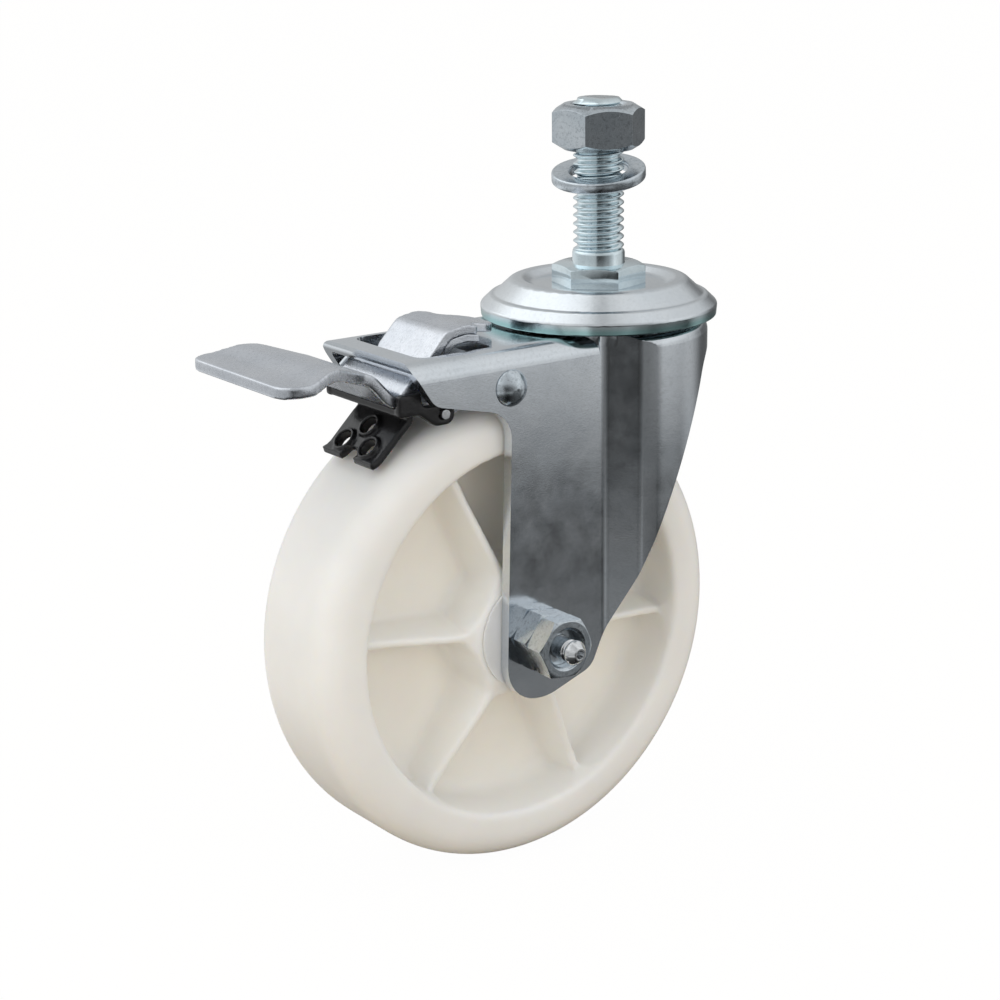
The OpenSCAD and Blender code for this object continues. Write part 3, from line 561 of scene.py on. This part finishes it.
add_modifier(washer, "SCREW", axis="Z", angle=2 * pi - GAP, screw_offset=WASHER_RISE, steps=96,
             render_steps=96)
edit_all(washer)
bpy.ops.mesh.remove_doubles(threshold=MERGE)
bpy.ops.mesh.fill_holes(sides=0)
bpy.ops.mesh.select_all(action="SELECT")
bpy.ops.mesh.normals_make_consistent(inside=False)
bpy.ops.transform.rotate(value=-(SLIT + GAP / 2), orient_axis="Z", center_override=(0, 0, 0))
leave_edit()
hang = Matrix.Rotation(TILT, 4, (cos(LEAN), sin(LEAN), 0))
washer.data.transform(Matrix.Translation((0, 0, WASHER_Z)) @ hang)
smooth(washer)
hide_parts("lock_washer")
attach(washer, "stem")
dress(washer, zinc_nut)
report(washer)
low, high = Vector(washer.bound_box[0]), Vector(washer.bound_box[6])
print("washer from", [round(v / MM, 1) for v in low], "to", [round(v / MM, 1) for v in high])

# %% [markdown]
# ## The stem
# The lower part of the stem is plain: a hexagonal base that was forged in one with the kingpin, and
# a smooth register above it. It is cut from a copy of the node just above the register.

# %% Plain part of the stem
REGISTER_TOP, REGISTER_BEVEL, HEX_EDGE = 3.1 * MM, 0.9 * MM, 0.25 * MM
plain = copy_of("stem_bolt")
edit_all(plain)
bpy.ops.mesh.bisect(plane_co=(0, 0, REGISTER_TOP), plane_no=(0, 0, 1), use_fill=True, clear_outer=True)
bpy.ops.mesh.select_all(action="DESELECT")
leave_edit()
for vertex in plain.data.vertices:
    vertex.select = vertex.co.z > REGISTER_TOP - SPARE
bpy.ops.object.mode_set(mode="EDIT")
bpy.ops.mesh.bevel(offset=REGISTER_BEVEL, segments=3)
leave_edit()
add_modifier(plain, "BEVEL", width=HEX_EDGE, segments=2, limit_method="ANGLE", angle_limit=SHARP)
smooth(plain)
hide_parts("stem_bolt")
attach(plain, "stem")
dress(plain, zinc_stem)
report(plain)

# %% [markdown]
# ## The thread
# A screw thread is a small V profile carried up a helix. The Screw modifier does just that: it
# turns the profile about the axis while it climbs by one pitch per turn. The pitch here is that of
# a 7/16 inch coarse thread. The crest and the root are rounded, as on a rolled thread.

# %% Threaded part of the stem
low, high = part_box("stem_bolt")
PITCH = 25.4 / 14 * MM
TIP = high.z
CREST_R = 5.42 * MM
DEPTH = 0.5 * PITCH
ROOT_R = CREST_R - DEPTH
TIP_CHAMFER = 1.1 * MM
SUNK = 0.4 * MM     # how far the thread starts below the register's top
turns = int((TIP - REGISTER_TOP) / PITCH) + 3
start = REGISTER_TOP - PITCH
# one turn's profile: (share of the depth, share of the pitch)
PROFILE = [(0.0, 0.0), (0.05, 0.10), (0.3, 0.20), (0.8, 0.36), (0.96, 0.43), (1.0, 0.50),
           (0.96, 0.57), (0.8, 0.64), (0.3, 0.80), (0.05, 0.90), (0.0, 1.0)]

bpy.ops.object.select_all(action="DESELECT")
bpy.ops.mesh.primitive_plane_add(size=PITCH, location=(0, 0, 0))
thread = bpy.context.object
thread.name = "stem_thread"
points = [(ROOT_R + deep * DEPTH, 0, start + along * PITCH) for deep, along in PROFILE]
profile = bpy.data.meshes.new("thread_profile")
profile.from_pydata(points, [(i, i + 1) for i in range(len(points) - 1)], [])
thread.data = profile
add_modifier(thread, "SCREW", axis="Z", angle=2 * pi, screw_offset=PITCH, iterations=turns, steps=72,
             render_steps=72)
edit_all(thread)
bpy.ops.mesh.remove_doubles(threshold=MERGE)
bpy.ops.mesh.select_all(action="SELECT")
bpy.ops.mesh.bisect(plane_co=(0, 0, TIP - SPARE / 2), plane_no=(0, 0, 1), use_fill=True, clear_outer=True)
bpy.ops.mesh.select_all(action="SELECT")
bpy.ops.mesh.bisect(plane_co=(0, 0, REGISTER_TOP - SUNK), plane_no=(0, 0, 1), use_fill=True,
                    clear_inner=True)
bpy.ops.mesh.select_all(action="SELECT")
bpy.ops.mesh.normals_make_consistent(inside=False)
leave_edit()
report(thread)

# %% [markdown]
# The tip of a bolt is chamfered, which cuts the last turns of the thread away on a cone. A cylinder
# with a bevelled end is intersected with the threaded rod for that.

# %% Chamfer the tip
ROD_R, ROD = CREST_R + 0.05 * MM, 60 * MM
bpy.ops.object.select_all(action="DESELECT")
bpy.ops.mesh.primitive_cylinder_add(vertices=72, radius=ROD_R, depth=ROD, location=(0, 0, TIP - ROD / 2))
chamfer = bpy.context.object
bpy.ops.object.transform_apply(location=True, rotation=True, scale=True)
bpy.ops.object.mode_set(mode="EDIT")
bpy.ops.mesh.select_all(action="DESELECT")
leave_edit()
for edge in chamfer.data.edges:
    edge.select = all(chamfer.data.vertices[v].co.z > TIP - 0.1 * MM for v in edge.vertices)
bpy.ops.object.mode_set(mode="EDIT")
bpy.ops.mesh.bevel(offset=TIP_CHAMFER, segments=1)
leave_edit()
add_modifier(thread, "BOOLEAN", operation="INTERSECT", object=chamfer, solver="EXACT")
bpy.data.objects.remove(chamfer)
smooth(thread, 50)
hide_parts("stem_bolt")
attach(thread, "stem")
dress(thread, zinc_stem)
report(thread)

# %% [markdown]
# ## Floor and light
# The photograph is a studio picture cut out on pure white. So the camera sees a white floor and a
# white backdrop. Plated metal shows what stands round it, and there the real studio had bright
# cards, a dark room behind the camera and a dim table. The world's colour follows the direction in
# the same way, and shiny metal looks through the floor to see it.

# %% Floor
FLOOR_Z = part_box("wheel")[0].z - SPARE
PAPER = (0.62, 0.54, 0.43)
GLOW, GLOW_SHARE = 1.015, 0.965     # what the camera sees: nearly all glow, and a little shadow
bpy.ops.object.select_all(action="DESELECT")
bpy.ops.mesh.primitive_plane_add(size=6, location=(0, 0, FLOOR_Z))
floor = bpy.context.object
floor.name = "floor"
material, tree, shader = new_material("floor_paper")
shader.inputs["Base Color"].default_value = (*PAPER, 1)
shader.inputs["Roughness"].default_value = 0.9
path = tree.nodes.new("ShaderNodeLightPath")
glow = node_of(tree, "ShaderNodeEmission", Color=(1, 1, 1, 1), Strength=GLOW)
clear = tree.nodes.new("ShaderNodeBsdfTransparent")
share = calculated(tree, "MULTIPLY", path.outputs["Is Camera Ray"], GLOW_SHARE)
for_camera = mix_shaders(tree, share, shader.outputs[0], glow.outputs[0])
surface = mix_shaders(tree, path.outputs["Is Glossy Ray"], for_camera, clear.outputs[0])
tree.links.new(surface, tree.nodes["Material Output"].inputs["Surface"])
floor.data.materials.append(material)
print("floor at", round(FLOOR_Z, 5))

# %% World: brightness by direction
PLAIN = (0.85, 0.855, 0.86)     # what the nylon and the floor get, the same from every side
COOL = (0.97, 0.99, 1.0)        # tint of all that the metal sees
# brightness by heading in degrees, counted from +X towards +Y, each from 180 round to 179.9
LOW_CARDS = [(180, 0.55), (205, 0.50), (220, 0.42), (226, 0.05), (236, 0.04), (252, 0.09),
             (262, 0.17), (275, 0.30), (292, 0.65), (306, 1.0), (330, 0.80), (342, 0.68),
             (352, 0.48), (8, 0.14), (30, 0.14), (45, 0.35), (56, 0.52), (75, 0.70), (100, 0.80),
             (139, 0.62), (160, 0.55), (179.9, 0.55)]
HIGH_CARDS = [(180, 0.95), (223, 0.60), (250, 0.50), (290, 0.70), (316, 0.86), (350, 0.75),
              (12, 0.68), (40, 0.55), (67, 0.55), (90, 0.80), (107, 1.35), (140, 1.3), (179.9, 0.95)]
BESIDE_CAMERA = [(180, 0.0), (262, 0.0), (285, 1.0), (330, 1.0), (350, 0.0), (179.9, 0.0)]
TABLE_EDGE = [(180, 0.0), (208, 0.0), (218, 0.2), (262, 0.2), (272, 0.0), (179.9, 0.0)]
# brightness by height, from -1 straight down to 1 straight up
OPEN = [(-1.0, 0.05), (-0.6, 0.20), (-0.47, 1.0), (-0.37, 1.35), (-0.28, 0.75), (-0.2, 0.8),
        (-0.15, 1.0), (1.0, 1.0)]
NEAR = [(-1.0, 0.05), (-0.5, 0.12), (-0.40, 0.20), (-0.352, 0.26), (-0.335, 0.22), (-0.312, 0.05),
        (-0.272, 0.05), (-0.249, 0.34), (-0.2156, 0.65), (-0.19, 0.75), (0.0, 0.75), (0.3, 1.0),
        (1.0, 1.0)]
EDGE_HEIGHT = [(-1.0, 0.0), (-0.48, 0.0), (-0.40, 1.0), (-0.305, 1.0), (-0.275, 0.0), (1.0, 0.0)]
CLIMB = (0.1, 0.45)             # heights between which the high cards take over from the low ones

world = bpy.data.worlds.new("studio")
bpy.context.scene.world = world
world.use_nodes = True
tree = world.node_tree
place = tree.nodes.new("ShaderNodeTexCoord")
axes = tree.nodes.new("ShaderNodeSeparateXYZ")
tree.links.new(place.outputs["Generated"], axes.inputs[0])
around = calculated(tree, "ARCTAN2", axes.outputs["Y"], axes.outputs["X"])
turned = scaled(tree, around, -pi, pi)
height = scaled(tree, axes.outputs["Z"], -1.0, 1.0)


def by_heading(stops):
    """Ramp over the headings."""
    return ramp(tree, turned, [((heading + 180) % 360 / 360, value) for heading, value in stops])


def by_height(stops):
    """Ramp over the heights."""
    return ramp(tree, height, [((level + 1) / 2, value) for level, value in stops])


climb = ramp(tree, scaled(tree, axes.outputs["Z"], *CLIMB), [(0.0, 0.0), (1.0, 1.0)])
sides = blend(tree, climb, by_heading(LOW_CARDS), by_heading(HIGH_CARDS))
levels = blend(tree, by_heading(BESIDE_CAMERA), by_height(OPEN), by_height(NEAR))
table = blend(tree, 1.0, by_heading(TABLE_EDGE), by_height(EDGE_HEIGHT), "MULTIPLY")
cards = blend(tree, 1.0, blend(tree, 1.0, sides, levels, "MULTIPLY"), table, "ADD")
for_metal = blend(tree, 1.0, cards, COOL, "MULTIPLY")

path = tree.nodes.new("ShaderNodeLightPath")
studio = tree.nodes["Background"]
tree.links.new(blend(tree, path.outputs["Is Glossy Ray"], PLAIN, for_metal), studio.inputs["Color"])
white = node_of(tree, "ShaderNodeBackground", Color=(1, 1, 1, 1), Strength=1.0)
seen = calculated(tree, "MAXIMUM", path.outputs["Is Camera Ray"], path.outputs["Is Transmission Ray"])
background = mix_shaders(tree, seen, studio.outputs[0], white.outputs[0])
tree.links.new(background, tree.nodes["World Output"].inputs["Surface"])
print("world ready, with", len(LOW_CARDS) + len(HIGH_CARDS), "directions")


# %% Lamps
MIDDLE = (-0.03, 0.0, -0.05)


def softbox(name, place, size, power):
    """Square area lamp at a place, turned to the castor's middle. The metal doesn't mirror it."""
    data = bpy.data.lights.new(name, "AREA")
    data.shape = "SQUARE"
    data.size = size
    data.energy = power
    lamp = bpy.data.objects.new(name, data)
    bpy.context.scene.collection.objects.link(lamp)
    lamp.location = place
    lamp.visible_glossy = False
    lamp.rotation_euler = (Vector(MIDDLE) - Vector(place)).to_track_quat("-Z", "Y").to_euler()


softbox("lamp_top", (-0.2, 0.0, 0.75), size=0.6, power=1.0)
softbox("lamp_left", (-0.8, -0.1, 0.25), size=0.6, power=1.4)
softbox("lamp_right", (0.1, -0.8, 0.15), size=0.5, power=0.6)
print("lamps: 3")

# %% [markdown]
# ## Camera
# The camera was matched to the photograph from the wheel's ellipse, the stem and the fork: a long
# lens at half a metre, looking slightly down from the front left.

# %% Camera
SENSOR, LENS = 36.0, 84.07      # in mm
EYE = (-0.30643, -0.38705, 0.08971)
RIGHT = Vector((0.80857, -0.58830, -0.01074))
UP = Vector((0.17152, 0.21820, 0.96071))
AHEAD = Vector((0.56284, 0.77865, -0.27734))
camera_data = bpy.data.cameras.new("camera")
camera_data.sensor_width = SENSOR
camera_data.lens = LENS
camera = bpy.data.objects.new("camera", camera_data)
bpy.context.scene.collection.objects.link(camera)
turn = Matrix((RIGHT, UP, -AHEAD)).transposed().to_4x4()
camera.matrix_world = Matrix.Translation(EYE) @ turn
bpy.context.scene.camera = camera
bpy.context.scene.view_settings.view_transform = "Standard"
print("camera at", [round(c, 3) for c in camera.matrix_world.translation])
